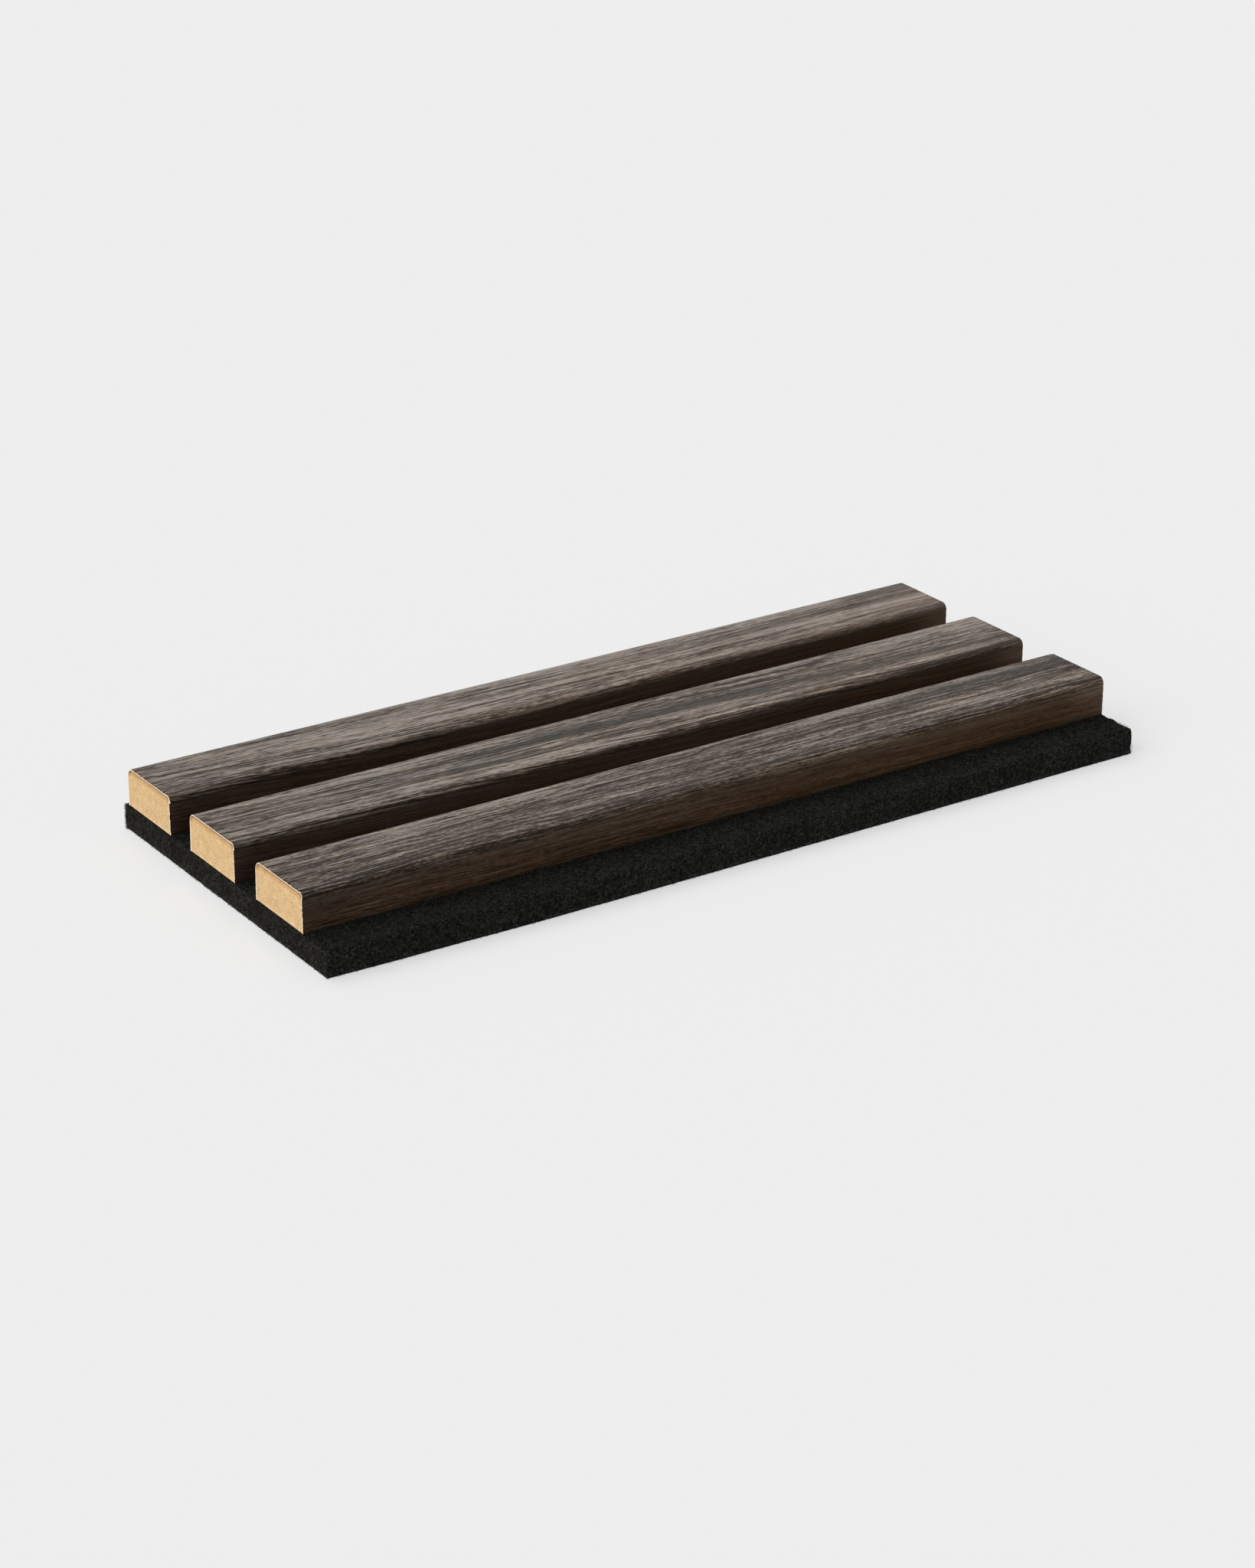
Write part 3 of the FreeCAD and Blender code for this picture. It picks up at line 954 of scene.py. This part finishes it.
def side_fibres(material):
    """Fibres all round the felt's cut sides."""
    rng = np.random.default_rng(12)
    length, width = felt_high.x - felt_low.x, felt_high.y - felt_low.y
    lengthwise = rng.random(SIDE_FIBRES) < length / (length + width)
    far = rng.random(SIDE_FIBRES) < 0.5
    x = np.where(lengthwise, rng.uniform(felt_low.x, felt_high.x, SIDE_FIBRES),
                 np.where(far, felt_high.x, felt_low.x))
    y = np.where(lengthwise, np.where(far, felt_high.y, felt_low.y),
                 rng.uniform(felt_low.y, felt_high.y, SIDE_FIBRES))
    z = rng.uniform(felt_low.z, felt_high.z, SIDE_FIBRES)
    outward = np.stack([np.where(lengthwise, 0, x), np.where(lengthwise, y, 0), z * 0], 1)
    outward = np.sign(outward)
    roots = np.stack([x, y, z], 1)
    paths = fibre_paths(roots, outward, rng, length=(0.9 * MM, 3.0 * MM), lift=0.08 * MM, standing=0.04)
    reach = rng.uniform(0.0, 0.16, (SIDE_FIBRES, 1, 1)) * MM
    sideways = reach * np.array([1.0, 1.0, 0.0])
    below = np.array([0.0, 0.0, 0.15 * MM])
    lows, highs = np.array(felt_low) - sideways, np.array(felt_high) + sideways - below
    paths = kept_within(paths, lows, highs)
    paths[:, :, 1] -= front_bow(paths[:, :, 0], paths[:, :, 1], paths[:, :, 2])
    return fibre_tubes("felt_fibres_sides", paths, rng, material)


def corner_tuft(material):
    """The frayed near rear corner, where short fibres stand out."""
    rng = np.random.default_rng(13)
    z = felt_high.z * rng.beta(1.5, 1.5, TUFT_FIBRES)
    back = rng.exponential(0.8 * MM, TUFT_FIBRES)
    on_end = rng.random(TUFT_FIBRES) < 0.5
    x = felt_low.x + np.where(on_end, 0.1 * MM, back)
    y = felt_high.y - np.where(on_end, back, 0.1 * MM)
    heading = np.stack([-rng.uniform(0.3, 1.3, TUFT_FIBRES), rng.uniform(0.2, 1.2, TUFT_FIBRES),
                        rng.normal(-0.1, 0.45, TUFT_FIBRES)], 1)
    heading /= np.linalg.norm(heading, axis=1)[:, None]
    length = rng.uniform(0.4, 1.15, (TUFT_FIBRES, 1)) * MM * np.exp(-back / (1.6 * MM))[:, None]
    droop = np.array([0.0, 0.0, -0.25])
    roots = np.stack([x, y, z], 1)
    steps = np.linspace(0, 1, FIBRE_RINGS)
    paths = np.stack([roots + heading * length * t + droop * length * t * t for t in steps], 1)
    paths = paths[length[:, 0] > 0.3 * MM]
    return fibre_tubes("felt_fibres_corner", paths, rng, material)


def arc(centre_y, centre_z, radius, first, last, count):
    """Points and normals along an arc, between two angles in degrees."""
    values = []
    for turn in np.radians(np.linspace(first, last, count)):
        across, up = math.cos(turn), math.sin(turn)
        values.append((centre_y + radius * across, centre_z + radius * up, across, up))
    return values


def foil_profile(low, high, rear):
    """Across a slat's outside from the front side's foot over the top: points, normals, path length."""
    front = CORNER * MM
    up_front = np.linspace(low.z, high.z - front, FRONT_POINTS)[:-1]
    over_top = np.linspace(low.y + front, high.y - rear, TOP_POINTS)[1:-1]
    down_rear = np.linspace(high.z - rear, low.z, REAR_POINTS)[1:]
    values = [(low.y, z, -1.0, 0.0) for z in up_front]
    values += arc(low.y + front, high.z - front, front, 180, 90, FRONT_CORNER_POINTS)
    values += [(y, high.z, 0.0, 1.0) for y in over_top]
    values += arc(high.y - rear, high.z - rear, rear, 90, 0, REAR_CORNER_POINTS)
    values += [(high.y, z, 1.0, 0.0) for z in down_rear]
    values = np.array(values)
    points, normals = values[:, :2], values[:, 2:]
    path = np.concatenate([[0], np.cumsum(np.hypot(*np.diff(points, axis=0).T))])
    return points, normals, path


def foil_row(x, low, high, rear, name, seed):
    """Points round the foil's section at x: over its outside, then back along its inside."""
    inward = 1.0 if x < 0 else -1.0
    fray = math.exp(-min(x - low.x, high.x - x) / FRAY_REACH)
    near = math.exp(-((x - low.x) / FLARE_REACH) ** 2)
    leaning = LEANING * math.exp(-((x - low.x) / LEANING_REACH) ** 2)
    # path length at which the burr stands out, on the front corner's arc
    burr_turn = math.asin(1.0 - BURR_DEPTH / (CORNER * MM))
    burr_path = (high.z - low.z) - CORNER * MM + burr_turn * CORNER * MM
    outer, inner = [], []
    for point, normal, path in zip(*foil_profile(low, high, rear)):
        rag = noise.noise(Vector((path / (1.3 * MM), seed, inward)))
        chip = noise.noise(Vector((path / (0.5 * MM), seed + 5, inward)))
        swell = noise.noise(Vector((x / (40 * MM), path / (9 * MM), seed))) * SWELL
        past = path - burr_path
        burr = BURR[name] * near * math.exp(-(past / (BURR_ABOVE if past > 0 else BURR_BELOW)) ** 2)
        flare = FLARE[name] * near * max(0.0, -2 * normal[0] * normal[1]) ** 2
        foot = (high.z - point[1]) / (high.z - low.z)
        lean = leaning * foot * max(0.0, normal[0])
        ragged = fray * (rag * 0.10 + chip * 0.06 - 0.05) * (1.0 + abs(normal[0])) * MM
        out = swell - SWELL + ragged + flare
        edge_x = x + inward * fray * (0.10 + 0.12 * abs(normal[0]) + rag * 0.06 + chip * 0.06) * MM
        y, z = point + normal * out + (lean - burr, 0)
        inside_y, inside_z = point - normal * FOIL_THICKNESS - (0.3 * burr, 0)
        raised = RAISED_RIM * max(normal[1], 0.0) if x == low.x else 0.0
        outer.append((edge_x, y, min(z, high.z) + raised))
        inner.append((edge_x, inside_y, min(inside_z, high.z)))
    return outer + inner[::-1]


def foil_piece(name, seed, foil, cut_edge):
    """One slat's foil, with a slightly ragged saw cut and the burr that its near front corner shows."""
    low, high = slat_boxes[name]
    xs = stations(low.x, high.x, FOIL_STEP, FOIL_ENDS)
    rears = np.interp(xs, (low.x, high.x), REAR_CORNER[name]) * MM
    grid = np.array([foil_row(x, low, high, rear, name, seed) for x, rear in zip(xs, rears)])
    nx, around_count = grid.shape[:2]
    ns = around_count // 2
    number = np.arange(nx * around_count).reshape(nx, around_count)
    around = np.roll(number, -1, axis=1)
    skin = np.stack([number[:-1], number[1:], around[1:], around[:-1]], 2)
    printed = np.zeros(skin.shape[:2], bool)
    printed[:, :ns - 1] = True
    quads = [skin.reshape(-1, 4)]
    marks = [np.where(printed.ravel(), 0, 1)]
    for end, turned in ((0, False), (nx - 1, True)):
        outer, inner = number[end][:ns], number[end][::-1][:ns]
        cap = np.stack([outer[:-1], outer[1:], inner[1:], inner[:-1]], 1)
        if turned:
            cap = cap[:, ::-1]
        quads.append(cap)
        marks.append(np.ones(len(cap), int))
    return mesh_piece(f"foil_wrap_{name}", grid.reshape(-1, 3), np.concatenate(quads),
                      [foil, cut_edge], np.concatenate(marks), sharp_angle=50)


# Pieces

felt_look = felt_material()
fibre_look = fibre_material()
felt = felt_piece(felt_look)
fibres = [make(fibre_look) for make in (top_fibres, side_fibres, corner_tuft)]
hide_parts("felt_backing")
for piece in (felt, *fibres):
    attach(piece, "root")

cut_edge_look = cut_edge_material()
for number, name in enumerate(SLATS):
    foil_look = foil_material(name, 10.0 * number)
    wrap = foil_piece(name, 7.0 * number + 2.0, foil_look, cut_edge_look)
    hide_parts(f"slat_wrap_{name}")
    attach(wrap, "root")

board_look = fibreboard_material()
for name in SLATS:
    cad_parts[f"slat_core_{name}"].material_slots[0].material = board_look
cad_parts["back_staples"].material_slots[0].material = staple_material()


# Floor, light and camera

def backdrop_rays(nodes, links):
    """1 for the rays that should see the plain backdrop."""
    path = nodes.new("ShaderNodeLightPath")
    total = path.outputs["Is Camera Ray"]
    for name in ("Is Glossy Ray", "Is Transmission Ray"):
        both = nodes.new("ShaderNodeMath")
        both.operation = "MAXIMUM"
        links.new(total, both.inputs[0])
        links.new(path.outputs[name], both.inputs[1])
        total = both.outputs[0]
    return total


def make_world():
    world = bpy.data.worlds.new("studio")
    bpy.context.scene.world = world
    world.use_nodes = True
    nodes, links = world.node_tree.nodes, world.node_tree.links
    nodes.clear()
    sky = nodes.new("ShaderNodeBackground")
    sky.inputs["Color"].default_value = (1, 1, 1, 1)
    sky.inputs["Strength"].default_value = SKY_LEVEL
    seen = nodes.new("ShaderNodeBackground")
    seen.inputs["Color"].default_value = (BACKDROP, BACKDROP, BACKDROP, 1)
    mix = nodes.new("ShaderNodeMixShader")
    links.new(backdrop_rays(nodes, links), mix.inputs[0])
    links.new(sky.outputs[0], mix.inputs[1])
    links.new(seen.outputs[0], mix.inputs[2])
    out = nodes.new("ShaderNodeOutputWorld")
    links.new(mix.outputs[0], out.inputs[0])


def make_light(name, level, direction, spread):
    """A broad soft light; a matt surface that faces it shows its colour times the level."""
    light = bpy.data.lights.new(name, "SUN")
    light.energy = math.pi * level
    light.angle = math.radians(spread)
    lamp = bpy.data.objects.new(name, light)
    lamp.rotation_euler = Vector(direction).to_track_quat("Z", "Y").to_euler()
    bpy.context.scene.collection.objects.link(lamp)


def pale_to_camera(n, colour):
    """The camera sees the floor's own colour mixed in, so that the shadow on it stays faint."""
    shown = n.add("ShaderNodeEmission", {"Color": colour, "Strength": 1.0}).outputs[0]
    camera_ray = n.add("ShaderNodeLightPath").outputs["Is Camera Ray"]
    out = n.tree.nodes["Material Output"]
    lit = out.inputs[0].links[0].from_socket
    mix = n.add("ShaderNodeMixShader", {0: n.times(camera_ray, FLOOR_GLOW), 1: lit, 2: shown})
    n.put(out.inputs[0], mix.outputs[0])
    return n.material


def make_floor():
    mesh = bpy.data.meshes.new("floor")
    sides = ((-1, -1), (1, -1), (1, 1), (-1, 1))
    corners = [(FLOOR_HALF * x, FLOOR_HALF * y, -FLOOR_GAP) for x, y in sides]
    mesh.from_pydata(corners, [], [(0, 1, 2, 3)])
    n = Nodes("floor_paper")
    tooth = n.noise(n.cells(n.place(), 0.8, 0.8, 0.0), 2.0)
    shade = n.math("MULTIPLY_ADD", tooth, 0.01, BACKDROP)
    colour = n.add("ShaderNodeCombineColor", {0: shade, 1: shade, 2: shade}).outputs[0]
    n.finish(colour, 1.0, specular_ior_level=0.0)
    mesh.materials.append(pale_to_camera(n, colour))
    floor = bpy.data.objects.new("floor", mesh)
    bpy.context.scene.collection.objects.link(floor)


def make_camera():
    data = bpy.data.cameras.new("camera")
    data.sensor_width = SENSOR
    data.lens = SENSOR * FOCAL_PIXELS / FRAME_HEIGHT
    data.clip_start, data.clip_end = CLIP
    azimuth, elevation = math.radians(VIEW_AZIMUTH), math.radians(VIEW_ELEVATION)
    ahead = Vector((math.cos(elevation) * math.sin(azimuth),
                    math.cos(elevation) * math.cos(azimuth), -math.sin(elevation)))
    camera = bpy.data.objects.new("camera", data)
    camera.location = VIEW_TARGET - ahead * VIEW_DISTANCE
    camera.rotation_euler = ahead.to_track_quat("-Z", "Y").to_euler()
    bpy.context.scene.collection.objects.link(camera)
    bpy.context.scene.camera = camera


make_world()
for name, (level, direction, spread) in LIGHTS.items():
    make_light(name, level, direction, spread)
make_floor()
make_camera()
bpy.context.scene.view_settings.view_transform = "Standard"
